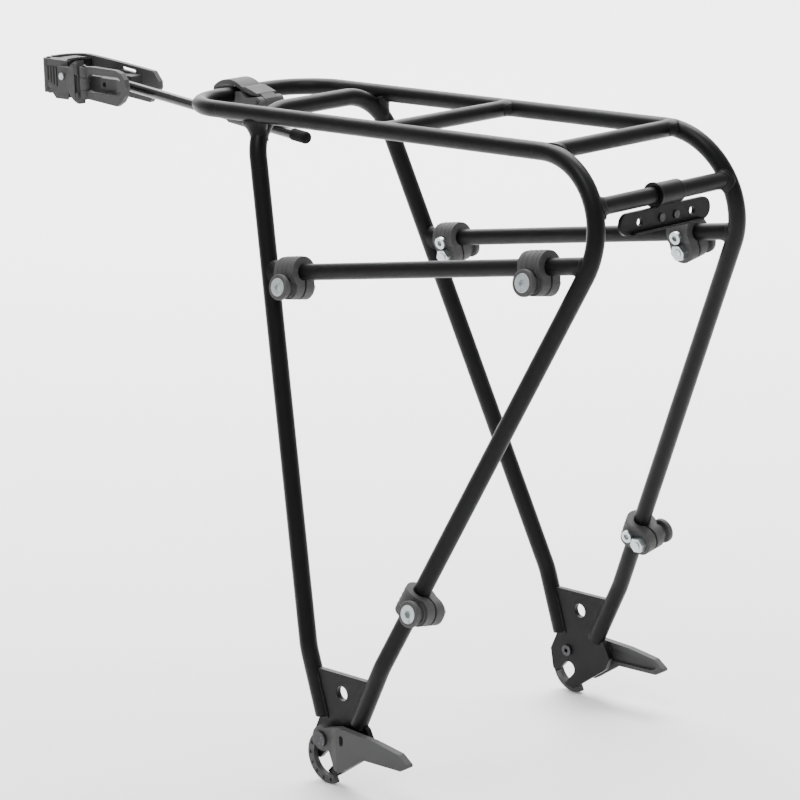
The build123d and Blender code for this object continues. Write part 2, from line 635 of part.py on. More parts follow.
def clamp_head():
    """Nose in front of the seatpost and a round cheek beside it."""
    nose = box_between((NEAR_X, 364, 390.5), (9.5, 389.8, 419.0))
    front_edges = nose.edges().filter_by(Axis.X).group_by(Axis.Y)[-1].sort_by(Axis.Z)
    nose = chamfer(front_edges[0], 9.0)
    front_edges = nose.edges().filter_by(Axis.X).group_by(Axis.Y)[-1].sort_by(Axis.Z)
    nose = chamfer(front_edges[-1], 3.5)
    nose = fillet(nose.edges().filter_by(Axis.Z).group_by(Axis.Y)[-1].group_by(Axis.X)[-1], 6.0)
    cheek = disc(CHEEK_Y, 405.5, 16.0, -20.0, NEAR_X)
    cheek = cheek & box_between((-30, CHEEK_BACK_Y, 380), (0, 372, 430))
    head = nose + cheek + box_between((NEAR_X - 3, 352, 396), (NEAR_X, 374, 415))
    head = head - upright(HEAD_PIN_X, HEAD_PIN_Y, KNUCKLE_R + 0.4, LUG_LOW - GAP, LUG_HIGH + GAP)
    for z0, z1 in ((HEAD_BASE, LUG_LOW - GAP), (LUG_HIGH + GAP, 419.0)):
        lug = upright(HEAD_PIN_X, HEAD_PIN_Y, KNUCKLE_R, z0, z1)
        head = head + lug + box_between((NEAR_X + 1, 385, z0), (-5.4, 390.5, z1))
    head = head - upright(HEAD_PIN_X, HEAD_PIN_Y, PIN_R + FIT, 380, 440)
    head = head - upright(0, POST_Y, POST_R + PAD, 380, 440)
    head = head + upright(LOOP_PIN_X, LOOP_PIN_Y, LOOP_KNUCKLE_R, LOOP_LOW, LOOP_HIGH)
    head = head + box_between((-19.0, LOOP_PIN_Y, LOOP_LOW), (-15.4, CHEEK_BACK_Y + 1, LOOP_HIGH))
    return outlets(head - upright(LOOP_PIN_X, LOOP_PIN_Y, PIN_R, 380, 440))


def clamp_loop():
    """Open frame that swings on the head and closes over the yoke's hook."""
    outline = [
        (LOOP_PIN_Y, 417), (334, 417.5), (308, 417), (302, 415.2), (298, 411), (296.7, 405.5),
        (298, 399.5), (302, 394.5), (308, 391), (LOOP_PIN_Y, 394),
    ]
    loop = slab(outline, NEAR_X - 4, NEAR_X)
    window = slab([(303, 399), (339, 399), (339, 412), (303, 412)], NEAR_X - 5, NEAR_X + 1, 3.0)
    loop = loop - window
    for z0, z1 in ((394, LOOP_LOW - GAP), (LOOP_HIGH + GAP, 417)):
        loop = loop + upright(LOOP_PIN_X, LOOP_PIN_Y, LOOP_KNUCKLE_R, z0, z1)
    loop = loop - box_between((-30, 338, LOOP_LOW - GAP), (0, 350, LOOP_HIGH + GAP))
    loop = loop - box_between((-30, LOOP_PIN_Y + 3.6, 380), (0, 360, 430))
    return outlets(loop - upright(LOOP_PIN_X, LOOP_PIN_Y, PIN_R + FIT, 380, 440))


def clamp_pad(y0, y1, z0, z1):
    """Rubber pad between the seatpost and the clamp."""
    pad = upright(0, POST_Y, POST_R + PAD, z0, z1) - upright(0, POST_Y, POST_R, z0 - 1, z1 + 1)
    return outlets(pad & box_between((-12, y0, z0), (12, y1, z1)))


save("clamp_yoke", clamp_yoke())
save("clamp_band", clamp_band())
save("band_screws", *[band_screw(y, z) for y, z in band_screw_places])
save("yoke_pin", disc(STRUT_EYE_Y, EYE_Z, YOKE_PIN_R, -10.6, BAND_IN))
save("yoke_pad", clamp_pad(340, 351, 397.5, 409))
save("clamp_head", clamp_head())
save("head_pad", clamp_pad(369, 380, 392, 418))
save("head_pin", upright(HEAD_PIN_X, HEAD_PIN_Y, PIN_R, HEAD_BASE - 1, 420.0))
save("loop_pin", upright(LOOP_PIN_X, LOOP_PIN_Y, PIN_R, 393.0, 418.0))
save("head_screw", rod((NEAR_X - 3, 368.5, 408), (NEAR_X - 4.6, 368.5, 408), 2.6))
save("clamp_loop", clamp_loop())
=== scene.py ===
"""Rear rack: finishes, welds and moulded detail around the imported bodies."""
import json
import math

import bmesh
import bpy
from bpy.props import FloatProperty, FloatVectorProperty, IntProperty, PointerProperty
from bpy.types import Operator, Panel, PropertyGroup
from mathutils import Matrix, Vector


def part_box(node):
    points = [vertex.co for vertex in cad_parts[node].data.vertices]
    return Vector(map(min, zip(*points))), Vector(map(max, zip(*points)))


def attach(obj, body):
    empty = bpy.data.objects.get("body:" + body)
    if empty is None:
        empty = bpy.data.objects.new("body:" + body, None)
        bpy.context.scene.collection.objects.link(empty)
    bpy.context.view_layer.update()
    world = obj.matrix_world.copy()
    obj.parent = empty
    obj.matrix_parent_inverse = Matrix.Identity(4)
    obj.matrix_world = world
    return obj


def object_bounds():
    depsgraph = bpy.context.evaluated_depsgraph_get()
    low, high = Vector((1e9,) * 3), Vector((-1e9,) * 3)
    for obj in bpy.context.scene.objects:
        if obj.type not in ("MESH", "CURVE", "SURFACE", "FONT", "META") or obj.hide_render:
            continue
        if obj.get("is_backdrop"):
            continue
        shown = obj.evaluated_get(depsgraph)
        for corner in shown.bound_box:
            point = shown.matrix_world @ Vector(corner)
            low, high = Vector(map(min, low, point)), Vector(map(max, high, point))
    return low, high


bl_info = {
    "name": "Rear Rack Finisher",
    "version": (1, 0, 0),
    "blender": (4, 5, 0),
    "location": "View3D > Sidebar > Rack",
    "description": "Finishes, welds, end domes and moulded ribs for a tubular rear rack",
    "category": "Object",
}

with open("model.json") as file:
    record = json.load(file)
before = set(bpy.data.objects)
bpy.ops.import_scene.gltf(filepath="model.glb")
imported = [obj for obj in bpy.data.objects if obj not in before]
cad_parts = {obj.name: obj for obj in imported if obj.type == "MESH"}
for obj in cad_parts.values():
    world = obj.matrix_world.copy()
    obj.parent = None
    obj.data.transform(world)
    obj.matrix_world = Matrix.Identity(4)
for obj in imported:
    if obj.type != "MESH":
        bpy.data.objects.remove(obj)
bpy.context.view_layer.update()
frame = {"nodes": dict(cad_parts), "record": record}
SIDES = {"left": -1, "right": 1}
RACK = "rack_frame"
MM = 0.001


# ---------------------------------------------------------------- places from the frame
def middle(node):
    low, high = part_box(node)
    return (low + high) / 2


def half_size(node):
    low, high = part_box(node)
    return (high - low) / 2


def mount(name):
    """Place and axis of one of the record's mounts."""
    for entry in frame["record"]["mounts"]:
        if entry["name"] == name:
            return Vector(entry["pos_m"]), Vector(entry["axis"]).normalized()
    raise RuntimeError(f"no mount named {name}")


RAIL = middle("right_deck_rail")
RAIL_R = half_size("right_deck_rail").x
CROSS_R = half_size("middle_cross_tube").z
FRONT_STAY_R = 6 * MM
FOOT_X = mount("right_stud_seat")[0].x
PLATE_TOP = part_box("right_dropout_plate")[1].z
PLATE_HALF = 2 * MM        # half the plate's thickness
ARCH_X = 58 * MM           # where the arch and the front stays would meet
ARCH_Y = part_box("front_arch")[1].y - FRONT_STAY_R
REAR_Y = -223 * MM         # where the deck rails and the rear stays would meet
KNEE_Z = 70 * MM
FRONT_RAKE = -0.2913       # forward run per unit of fall: the front stays run back
REAR_RAKE = 0.52           # and the rear stays run forward


def leg_point(corner_x, corner_y, rake, z, side):
    """Point on a stay's axis at a height."""
    fall = RAIL.z - z
    share = min(fall / (RAIL.z - KNEE_Z), 1)
    return Vector((side * (corner_x + (FOOT_X - corner_x) * share), corner_y + rake * fall, z))


def front_leg(z, side):
    return leg_point(ARCH_X, ARCH_Y, FRONT_RAKE, z, side)


def rear_leg(z, side):
    return leg_point(RAIL.x, REAR_Y, REAR_RAKE, z, side)


# ---------------------------------------------------------------- shader maths
class Value:
    """A socket that takes part in Python expressions."""

    def __init__(self, shade, socket):
        self.shade = shade
        self.socket = socket

    def maths(self, operation, first, second):
        return self.shade.node("ShaderNodeMath", {"operation": operation}, {0: first, 1: second})

    def __add__(self, other):
        return self.maths("ADD", self, other)

    def __radd__(self, other):
        return self.maths("ADD", other, self)

    def __sub__(self, other):
        return self.maths("SUBTRACT", self, other)

    def __rsub__(self, other):
        return self.maths("SUBTRACT", other, self)

    def __mul__(self, other):
        return self.maths("MULTIPLY", self, other)

    def __rmul__(self, other):
        return self.maths("MULTIPLY", other, self)

    def between(self, low, high):
        """0 below low, 1 above high, smooth in between."""
        settings = {"interpolation_type": "SMOOTHSTEP"}
        inputs = {"Value": self, "From Min": low, "From Max": high}
        return self.shade.node("ShaderNodeMapRange", settings, inputs)


class Shade:
    """One node material being built."""

    def __init__(self, name):
        self.material = bpy.data.materials.new(name)
        self.material.use_nodes = True
        self.tree = self.material.node_tree
        self.tree.nodes.clear()
        self.place = self.node("ShaderNodeTexCoord", output="Object")

    def node(self, kind, settings=None, inputs=None, output=0):
        made = self.tree.nodes.new(kind)
        for key, setting in (settings or {}).items():
            setattr(made, key, setting)
        for key, value in (inputs or {}).items():
            if isinstance(value, Value):
                self.tree.links.new(value.socket, made.inputs[key])
            else:
                made.inputs[key].default_value = value
        return Value(self, made.outputs[output])

    def noise(self, scale, detail=3.0, roughness=0.5, stretch=None):
        """Noise with its scale in cells per metre."""
        place = self.place
        if stretch:
            place = self.node("ShaderNodeMapping", {}, {"Vector": place, "Scale": stretch})
        inputs = {"Vector": place, "Scale": scale, "Detail": detail, "Roughness": roughness}
        return self.node("ShaderNodeTexNoise", {}, inputs)

    def pits(self, scale):
        return self.node("ShaderNodeTexVoronoi", {}, {"Vector": self.place, "Scale": scale}, "Distance")

    def tint(self, factor, low, high):
        """Colour between two colours."""
        inputs = {0: factor, 6: (*low, 1), 7: (*high, 1)}
        return self.node("ShaderNodeMix", {"data_type": "RGBA"}, inputs, 2)

    def bump(self, height, depth, under=None):
        """Bump of a depth in metres."""
        inputs = {"Height": height, "Distance": depth, "Strength": 1.0}
        if under:
            inputs["Normal"] = under
        return self.node("ShaderNodeBump", {}, inputs)

    def rounded(self, radius):
        """Normal of an edge eased by a radius."""
        return self.node("ShaderNodeBevel", {"samples": 4}, {"Radius": radius})

    def surface(self, base, rough, relief, constants):
        """Material from its varying values and its constants."""
        return self.finish({"Base Color": base, "Roughness": rough, "Normal": relief, **constants})

    def finish(self, inputs):
        surface = self.node("ShaderNodeBsdfPrincipled", {}, inputs)
        output = self.tree.nodes.new("ShaderNodeOutputMaterial")
        self.tree.links.new(surface.socket, output.inputs["Surface"])
        return self.material


def lighter(colour, factor):
    return tuple(channel * factor for channel in colour)


def satin_powder_coat(colour):
    """Fine orange peel with faint rubbed and dusty patches."""
    shade = Shade("satin_powder_coat")
    peel = shade.noise(1400, 2, 0.55)
    grit = shade.noise(5200, 1, 0.5)
    patches = shade.noise(28, 4, 0.6).between(0.45, 0.75)
    specks = shade.noise(3200, 1, 0.5).between(0.68, 0.74)
    base = shade.tint(patches * 0.6 + specks * 0.4, colour, lighter(colour, 1.9))
    rough = 0.36 + peel * 0.07 + patches * 0.08
    relief = shade.bump(peel * 0.8 + grit * 0.2, 0.00006, shade.rounded(0.0004))
    return shade.surface(base, rough, relief, {"Specular IOR Level": 0.15})


def gloss_anodised(colour):
    """Smooth drawn rod with fine lines along it and a few rubbed streaks."""
    shade = Shade("gloss_anodised_rod")
    lines = shade.noise(2600, 2, 0.5, (1, 0.02, 1))
    rubs = shade.noise(160, 3, 0.6, (1, 0.15, 1)).between(0.55, 0.8)
    base = shade.tint(rubs, colour, lighter(colour, 2.6))
    rough = 0.16 + lines * 0.08 + rubs * 0.12
    relief = shade.bump(lines, 0.000012)
    return shade.surface(base, rough, relief, {"Specular IOR Level": 0.6})


def moulded_plastic(colour):
    """Glass-filled nylon: spark-eroded grain, pale scuffs and soft flow marks."""
    shade = Shade("moulded_plastic")
    grain = shade.pits(2800)
    flow = shade.noise(60, 3, 0.6)
    scuffs = shade.noise(420, 4, 0.7).between(0.62, 0.8)
    base = shade.tint(scuffs * 0.5 + flow * 0.35, colour, lighter(colour, 2.4))
    rough = 0.42 + grain * 0.12 + flow * 0.1
    relief = shade.bump(grain * 0.7 + scuffs * 0.3, 0.00008, shade.rounded(0.0005))
    return shade.surface(base, rough, relief, {"Specular IOR Level": 0.03})


def soft_rubber(colour):
    shade = Shade("soft_rubber")
    grain = shade.noise(2400, 3, 0.6)
    dust = shade.noise(90, 4, 0.65).between(0.5, 0.8)
    base = shade.tint(dust, colour, lighter(colour, 2.2))
    rough = 0.72 + grain * 0.15
    relief = shade.bump(grain, 0.0001, shade.rounded(0.0004))
    return shade.surface(base, rough, relief, {"Specular IOR Level": 0.15})


def zinc_plate(colour):
    """Plated steel with a crystalline haze and darker stains."""
    shade = Shade("zinc_plated_steel")
    haze = shade.noise(900, 4, 0.6)
    stains = shade.noise(260, 3, 0.6).between(0.5, 0.75)
    base = shade.tint(stains, colour, lighter(colour, 0.62))
    rough = 0.24 + haze * 0.22
    relief = shade.bump(haze, 0.00003, shade.rounded(0.0003))
    return shade.surface(base, rough, relief, {"Metallic": 1.0})


def blackened_rivet(colour):
    shade = Shade("blackened_rivet")
    wear = shade.noise(700, 4, 0.65).between(0.5, 0.78)
    base = shade.tint(wear, colour, lighter(colour, 3.2))
    rough = 0.3 + wear * 0.2
    relief = shade.bump(wear, 0.00004, shade.rounded(0.0004))
    return shade.surface(base, rough, relief, {"Metallic": 0.6})


def bare_aluminium(colour):
    shade = Shade("turned_aluminium")
    rings = shade.noise(2200, 2, 0.5, (1, 0.3, 0.3))
    base = shade.tint(rings, lighter(colour, 0.8), colour)
    relief = shade.bump(rings, 0.00002)
    return shade.surface(base, 0.28 + rings * 0.15, relief, {"Metallic": 1.0})


def weld_metal(colour):
    """Coated weld: the powder coat over a rippled bead."""
    shade = Shade("coated_weld")
    lumps = shade.noise(900, 3, 0.6)
    peel = shade.noise(1400, 2, 0.55)
    base = shade.tint(lumps, colour, lighter(colour, 1.8))
    relief = shade.bump(lumps * 0.7 + peel * 0.3, 0.0002)
    rough = 0.38 + lumps * 0.1
    return shade.surface(base, rough, relief, {"Specular IOR Level": 0.15})


# ---------------------------------------------------------------- settings
def paint(name, description, default):
    """Colour property."""
    return FloatVectorProperty(name=name, description=description, subtype="COLOR", default=default)


class RackColours(PropertyGroup):
    coat: paint("Powder coat", "Colour of the tubes", (0.002, 0.002, 0.0022))
    rod: paint("Strut", "Colour of the strut", (0.003, 0.003, 0.0033))
    plastic: paint("Plastic", "Colour of the moulded pieces", (0.0012, 0.0012, 0.0013))
    rubber: paint("Rubber", "Colour of pads and end cap", (0.004, 0.004, 0.004))
    zinc: paint("Zinc", "Colour of plated fasteners", (0.5, 0.54, 0.55))
    rivet: paint("Rivets", "Colour of blackened rivets", (0.03, 0.03, 0.032))
    bare: paint("Aluminium", "Colour of turned spacers", (0.6, 0.6, 0.62))
    floor: paint("Floor", "Colour of the studio floor", (0.97, 0.97, 0.97))


class RackSizes(PropertyGroup):
    bead: FloatProperty(
        name="Weld bead", description="Reach of a weld along a tube", default=3.2 * MM, unit="LENGTH")
    ripples: IntProperty(name="Ripples", description="Ripples round one weld", default=24)
    rib: FloatProperty(
        name="Collar rib", description="Height of a moulded rib", default=0.5 * MM, unit="LENGTH")
    dome: FloatProperty(
        name="End dome", description="Depth of a stay's closed end", default=1.6 * MM, unit="LENGTH")
    lens: FloatProperty(
        name="Lens", description="Focal length of the camera", default=146.29, unit="CAMERA")


# ---------------------------------------------------------------- mesh helpers
def basis(x_axis, z_axis, origin):
    """Matrix whose Z is z_axis and whose X leans to x_axis."""
    z = Vector(z_axis).normalized()
    x = Vector(x_axis) - z * Vector(x_axis).dot(z)
    x.normalize()
    y = z.cross(x)
    matrix = Matrix((x, y, z)).transposed().to_4x4()
    return Matrix.Translation(origin) @ matrix


def piece(name, mesh, body, material):
    """Turn a bmesh into a piece that rides on a body."""
    bmesh.ops.remove_doubles(mesh, verts=mesh.verts, dist=1e-6)
    bmesh.ops.recalc_face_normals(mesh, faces=mesh.faces)
    data = bpy.data.meshes.new(name)
    mesh.to_mesh(data)
    mesh.free()
    for polygon in data.polygons:
        polygon.use_smooth = True
    made = bpy.data.objects.new(name, data)
    bpy.context.scene.collection.objects.link(made)
    data.materials.append(material)
    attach(made, body)
    return made


def finish_for(name, builder, colour):
    return bpy.data.materials.get(name) or builder(colour)


def coat_nodes(nodes, material):
    """Give CAD nodes a finish."""
    for node in nodes:
        carried = frame["nodes"][node]
        carried.data.materials.clear()
        carried.data.materials.append(material)
        for polygon in carried.data.polygons:
            polygon.material_index = 0


def nodes_in_slot(slot):
    return [entry["node"] for entry in frame["record"]["subparts"] if entry["material_slot"] == slot]


def add_ring(mesh, major, minor, around, section):
    """Closed ring about Z by a full spin of a small circle."""
    start = Matrix.Translation((major, 0, 0)) @ Matrix.Rotation(math.pi / 2, 4, "X")
    circle = bmesh.ops.create_circle(mesh, cap_ends=False, segments=section, radius=minor, matrix=start)
    edges = list({edge for vert in circle["verts"] for edge in vert.link_edges})
    spun = circle["verts"] + edges
    bmesh.ops.spin(
        mesh, geom=spun, cent=(0, 0, 0), axis=(0, 0, 1),
        angle=2 * math.pi, steps=around, use_merge=True)


def spin_loop(mesh, profile, around):
    """Closed ring about Z from a closed loop of (radius, height) points."""
    rim = [mesh.verts.new((radius, 0, height)) for radius, height in profile]
    edges = [mesh.edges.new(pair) for pair in zip(rim, rim[1:] + rim[:1])]
    bmesh.ops.spin(
        mesh, geom=rim + edges, cent=(0, 0, 0), axis=(0, 0, 1),
        angle=2 * math.pi, steps=around, use_merge=True)


# Outline of a weld: distance off the branch tube and up from the main tube, in reaches
WELD_SECTION = [(-0.4, 1.5), (0.02, 1.5), (0.12, 0.9), (0.4, 0.42), (0.95, 0.1), (0.95, -0.4), (-0.4, -0.4)]


def weld_ring(mesh, centre, branch, main, branch_r, main_r, sizes):
    """Rippled fillet along the saddle where a branch tube meets a main tube."""
    reach = sizes.bead
    ring = bmesh.new()
    spin_loop(ring, [(branch_r + out * reach, up * reach) for out, up in WELD_SECTION], 96)
    tilt = main.dot(branch) / math.sqrt(1 - main.dot(branch) ** 2)
    for vert in ring.verts:
        follow_saddle(vert, branch_r, main_r, tilt, sizes)
    bmesh.ops.transform(ring, matrix=basis(main, branch, centre), verts=ring.verts)
    join(mesh, ring)


def follow_saddle(vert, branch_r, main_r, tilt, sizes):
    """Lay one point of a weld on the main tube's skin."""
    angle = math.atan2(vert.co.y, vert.co.x)
    out = math.hypot(vert.co.x, vert.co.y) - branch_r
    if out > 0:
        out *= 1 - 0.95 * math.sin(angle) ** 2
        out += 0.04 * sizes.bead * math.cos(sizes.ripples * angle) * math.cos(angle) ** 2
    vert.co.x = (branch_r + out) * math.cos(angle)
    vert.co.y = (branch_r + out) * math.sin(angle)
    saddle = math.sqrt(max(main_r ** 2 - vert.co.y ** 2, (0.25 * main_r) ** 2))
    vert.co.z += saddle + tilt * vert.co.x


def join(mesh, other):
    """Move another bmesh's faces into this one."""
    data = bpy.data.meshes.new("joined")
    other.to_mesh(data)
    other.free()
    mesh.from_mesh(data)
    bpy.data.meshes.remove(data)


def skirt(mesh, top, down, wide, profile, squash):
    """Flared weld round a tube, wider along one direction than across it."""
    turned = bmesh.new()
    spin_loop(turned, [(radius, -depth) for radius, depth in profile], 64)
    neck = profile[0][0]
    for vert in turned.verts:
        radius = math.hypot(vert.co.x, vert.co.y)
        if radius > neck:
            vert.co.y *= (neck + (radius - neck) * squash) / radius
    bmesh.ops.transform(turned, matrix=basis(wide, -down, top), verts=turned.verts)
    join(mesh, turned)


def capsule(mesh, start, end, radius, ripples):
    """Straight bead with domed ends and ripples along it."""
    along = Vector(end) - Vector(start)
    bead = bmesh.new()
    bmesh.ops.create_uvsphere(bead, u_segments=16, v_segments=40, radius=1.0)
    for vert in bead.verts:
        level = vert.co.z
        width = math.sqrt(max(1 - level ** 8, 0)) * (1 + 0.08 * math.cos(ripples * math.pi * level))
        flat = math.hypot(vert.co.x, vert.co.y)
        if flat > 1e-6:
            vert.co.x *= radius * width / flat
            vert.co.y *= radius * width / flat
        vert.co.z = level * (along.length / 2)
    centre = (Vector(start) + Vector(end)) / 2
    side = Vector((1, 0, 0)) if abs(along.normalized().x) < 0.9 else Vector((0, 1, 0))
    bmesh.ops.transform(bead, matrix=basis(side, along, centre), verts=bead.verts)
    join(mesh, bead)


# ---------------------------------------------------------------- operators
class RACK_OT_coat_tubes(Operator):
    """Powder coat on the tubes and plates"""
    bl_idname = "rack.coat_tubes"
    bl_label = "Coat tubes and plates"

    def execute(self, context):
        colours = context.scene.rack_colours
        coat = finish_for("satin_powder_coat", satin_powder_coat, colours.coat)
        coat_nodes(nodes_in_slot("frame_tube"), coat)
        return {"FINISHED"}


class RACK_OT_coat_strut(Operator):
    """Gloss finish on the strut"""
    bl_idname = "rack.coat_strut"
    bl_label = "Finish strut"

    def execute(self, context):
        colours = context.scene.rack_colours
        gloss = finish_for("gloss_anodised_rod", gloss_anodised, colours.rod)
        coat_nodes(nodes_in_slot("strut"), gloss)
        return {"FINISHED"}


class RACK_OT_mould_plastics(Operator):
    """Grained plastic on collars, studs, levers, coupling and clamp"""
    bl_idname = "rack.mould_plastics"
    bl_label = "Finish plastics"

    def execute(self, context):
        colours = context.scene.rack_colours
        plastic = finish_for("moulded_plastic", moulded_plastic, colours.plastic)
        coat_nodes(nodes_in_slot("moulded_plastic"), plastic)
        coat_nodes(nodes_in_slot("rubber"), finish_for("soft_rubber", soft_rubber, colours.rubber))
        return {"FINISHED"}


class RACK_OT_plate_fasteners(Operator):
    """Zinc on screws and nuts, dark finish on rivets, bare spacers"""
    bl_idname = "rack.plate_fasteners"
    bl_label = "Finish fasteners"

    def execute(self, context):
        colours = context.scene.rack_colours
        zinc = finish_for("zinc_plated_steel", zinc_plate, colours.zinc)
        coat_nodes(nodes_in_slot("zinc_steel"), zinc)
        coat_nodes(nodes_in_slot("pivot"), finish_for("blackened_rivet", blackened_rivet, colours.rivet))
        turned = finish_for("turned_aluminium", bare_aluminium, colours.bare)
        coat_nodes(nodes_in_slot("bare_aluminium"), turned)
        return {"FINISHED"}


LIGHT_TUBE_BEND = (0, -0.42, -0.9)     # direction of the rear bend where the light tube joins it


class RACK_OT_weld_deck(Operator):
    """Weld beads where cross tubes and pannier rails meet the hoops"""
    bl_idname = "rack.weld_deck"
    bl_label = "Weld deck and rails"

    def execute(self, context):
        sizes = context.scene.rack_sizes
        metal = finish_for("coated_weld", weld_metal, context.scene.rack_colours.coat)
        for name, side in SIDES.items():
            welds = bmesh.new()
            inward = Vector((-side, 0, 0))
            for node in ("middle_cross_tube", "rear_cross_tube"):
                place = middle(node)
                centre = Vector((side * RAIL.x, place.y, RAIL.z))
                weld_ring(welds, centre, inward, Vector((0, 1, 0)), CROSS_R, RAIL_R, sizes)
            light = middle("light_cross_tube")
            light_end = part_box("light_cross_tube")[1].x + 0.3 * RAIL_R
            centre = Vector((side * light_end, light.y, light.z))
            bend = Vector(LIGHT_TUBE_BEND).normalized()
            weld_ring(welds, centre, inward, bend, CROSS_R, RAIL_R, sizes)
            piece(f"{name}_deck_welds", welds, RACK, metal)
            self.rail_welds(name, side, metal, sizes)
        return {"FINISHED"}

    def rail_welds(self, name, side, metal, sizes):
        """Beads at both ends of a pannier rail."""
        welds = bmesh.new()
        place, axis = mount(f"{name}_bag_rail")
        rear_way = axis if axis.y < 0 else -axis
        for leg, way, radius in ((front_leg, -rear_way, FRONT_STAY_R), (rear_leg, rear_way, RAIL_R)):
            low = leg(place.z - 60 * MM, side)
            high = leg(place.z + 60 * MM, side)
            main = (high - low).normalized()
            meet = closest_on_line(place, way, low, main)
            weld_ring(welds, meet, -way, main, CROSS_R, radius, sizes)
        piece(f"{name}_rail_welds", welds, RACK, metal)


def closest_on_line(point, way, other, main):
    """Point of the second line that is nearest to the first line."""
    normal = way.cross(main)
    perpendicular = way.cross(normal)
    travel = (point - other).dot(perpendicular) / main.dot(perpendicular)
    return other + main * travel


class RACK_OT_weld_arch(Operator):
    """Flared welds that join the arch to the deck rails"""
    bl_idname = "rack.weld_arch"
    bl_label = "Weld arch"

    def execute(self, context):
        metal = finish_for("coated_weld", weld_metal, context.scene.rack_colours.coat)
        reach = FRONT_STAY_R
        profile = [
            (0.96 * reach, 3.3 * reach), (1.03 * reach, 2.7 * reach), (1.13 * reach, 2.1 * reach),
            (1.35 * reach, 1.6 * reach), (1.65 * reach, 1.25 * reach), (2.0 * reach, 1.0 * reach),
            (2.0 * reach, 0.6 * reach), (0.6 * reach, 0.6 * reach), (0.6 * reach, 3.3 * reach),
        ]
        for name, side in SIDES.items():
            weld = bmesh.new()
            top = Vector((side * (RAIL.x - 1.5 * MM), ARCH_Y, RAIL.z))
            down = Vector((side * 0.02, FRONT_RAKE, -1)).normalized()
            skirt(weld, top, down, (0, 1, 0), profile, 0.15)
            piece(f"{name}_arch_weld", weld, RACK, metal)
        return {"FINISHED"}


class RACK_OT_weld_feet(Operator):
    """Beads between the stays and the dropout plates"""
    bl_idname = "rack.weld_feet"
    bl_label = "Weld feet"

    def execute(self, context):
        sizes = context.scene.rack_sizes
        metal = finish_for("coated_weld", weld_metal, context.scene.rack_colours.coat)
        low_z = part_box("right_front_stay")[0].z + 1 * MM
        high_z = PLATE_TOP - 2 * MM
        for name, side in SIDES.items():
            weld = bmesh.new()
            for leg, radius, inner in ((front_leg, FRONT_STAY_R, -1), (rear_leg, RAIL_R, 1)):
                across = inner * math.sqrt(radius ** 2 - PLATE_HALF ** 2)
                for face in (-1, 1):
                    shift = Vector((face * PLATE_HALF, across, 0))
                    start = leg(low_z, side) + shift
                    end = leg(high_z, side) + shift
                    capsule(weld, start, end, 0.35 * sizes.bead, sizes.ripples)
            piece(f"{name}_foot_welds", weld, RACK, metal)
        return {"FINISHED"}


class RACK_OT_close_stays(Operator):
    """Domed ends that close the stays above the feet"""
    bl_idname = "rack.close_stays"
    bl_label = "Close stay ends"

    def execute(self, context):
        sizes = context.scene.rack_sizes
        coat = finish_for("satin_powder_coat", satin_powder_coat, context.scene.rack_colours.coat)
        for name, side in SIDES.items():
            for label, leg, radius in (("front", front_leg, FRONT_STAY_R), ("rear", rear_leg, RAIL_R)):
                dome = bmesh.new()
                bmesh.ops.create_uvsphere(dome, u_segments=40, v_segments=20, radius=radius)
                low_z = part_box(f"{name}_{label}_stay")[0].z
                lean = (leg(low_z + 10 * MM, side) - leg(low_z, side)).normalized()
                end_z = low_z + radius * math.sqrt(1 - lean.z ** 2)
                flat = Matrix.Diagonal((0.96, 0.96, sizes.dome / radius, 1))
                bmesh.ops.transform(dome, matrix=flat, verts=dome.verts)
                seat = leg(end_z, side) + lean * 0.2 * MM
                bmesh.ops.transform(dome, matrix=basis((1, 0, 0), lean, seat), verts=dome.verts)
                piece(f"{name}_{label}_stay_end", dome, RACK, coat)
        return {"FINISHED"}


STUD_OUT = 10 * MM         # stud mount's place outboard of its tube's axis
STUD_OFFSET = 9.85 * MM    # stud's axis off its tube's axis
COLLAR_R = 10.2 * MM       # radius of the ribs' ring
RIB_PLACES = (-6, -2, 2, 6)    # along the tube, in millimetres


class RACK_OT_rib_collars(Operator):
    """Moulded ribs round the adapter collars"""
    bl_idname = "rack.rib_collars"
    bl_label = "Rib collars"

    def execute(self, context):
        sizes = context.scene.rack_sizes
        plastic = finish_for("moulded_plastic", moulded_plastic, context.scene.rack_colours.plastic)
        for name, side in SIDES.items():
            rail_axis = mount(f"{name}_bag_rail")[1]
            low, high = rear_leg(100 * MM, side), rear_leg(140 * MM, side)
            axes = {"front": rail_axis, "rear": rail_axis, "stay": (high - low).normalized()}
            for label, axis in axes.items():
                self.collar(f"{name}_{label}", axis, plastic, sizes)
        return {"FINISHED"}

    def collar(self, prefix, axis, plastic, sizes):
        """Four ribs round one collar, set from its stud's place."""
        stud, outboard = mount(f"{prefix}_stud")
        across = axis.cross(outboard).normalized()
        if across.z > 0:
            across = -across
        centre = stud - outboard * STUD_OUT - across * STUD_OFFSET
        ribs = bmesh.new()
        for step in RIB_PLACES:
            ring = bmesh.new()
            add_ring(ring, COLLAR_R, sizes.rib * 1.2, 64, 8)
            place = centre + axis * step * MM
            bmesh.ops.transform(ring, matrix=basis(outboard, axis, place), verts=ring.verts)
            join(ribs, ring)
        piece(f"{prefix}_collar_ribs", ribs, RACK, plastic)


# Cheek on the clamp's head: a D seen from the side, its straight side to the rear
CHEEK_Z = 405.5 * MM       # height of its middle
CHEEK_HALF = 13.6 * MM     # half its height
CHEEK_REACH = 14.2 * MM    # round side, forward of the cheek's line
CHEEK_EDGE = 4.6 * MM      # straight side, forward of the same line
CHEEK_RISE = 1.5 * MM

# Lip by the straight side, in millimetres from the cheek's line and middle
LIP_OUT = 0.2
LIP_Y = 3.6
LIP_SPANS = ((-14, -7), (5, 14))
LIP_R = 1.4 * MM

NOSE_RIBS = 4
NOSE_RIB_PITCH = 3.2       # in millimetres
NOSE_RIB_R = 0.7 * MM


